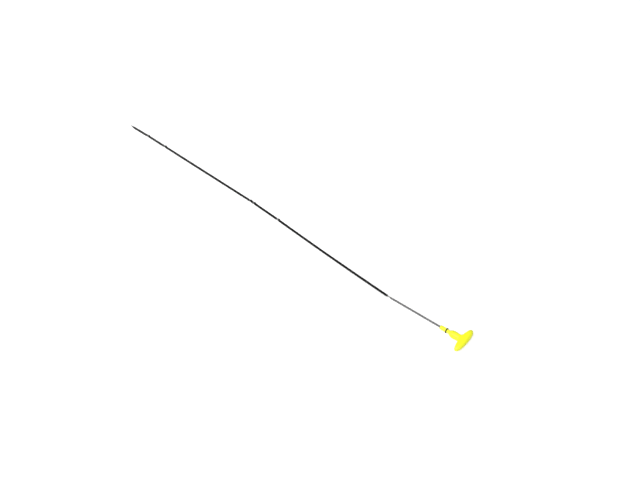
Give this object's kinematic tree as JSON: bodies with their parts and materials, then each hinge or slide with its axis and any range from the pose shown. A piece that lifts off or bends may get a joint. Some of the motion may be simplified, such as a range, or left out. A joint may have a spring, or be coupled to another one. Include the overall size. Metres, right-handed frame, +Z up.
{
  "type": "engine oil dipstick",
  "caption": "Flat flexible steel blade with crimped level marks and guide crimps, moulded into a plastic T-handle with a seal ring; shows the oil level in an engine.",
  "frame": {"origin": "middle of the dipstick's outline seen from above, on the table plane that it lies on", "axes": "+X along the dipstick from the blade's tip towards the T-handle, +Z up from the table"},
  "size_m": [0.7188, 0.066, 0.0122],
  "materials": {
    "handle_plastic": "satin moulded yellow",
    "seal_rubber": "moulded black rubber",
    "blade_steel": "dark tempered spring steel, rolled edges"
  },
  "bodies": {
    "root": {"handle": "handle_plastic", "seal_ring": "seal_rubber", "blade": "blade_steel"}
  },
  "joints": []
}
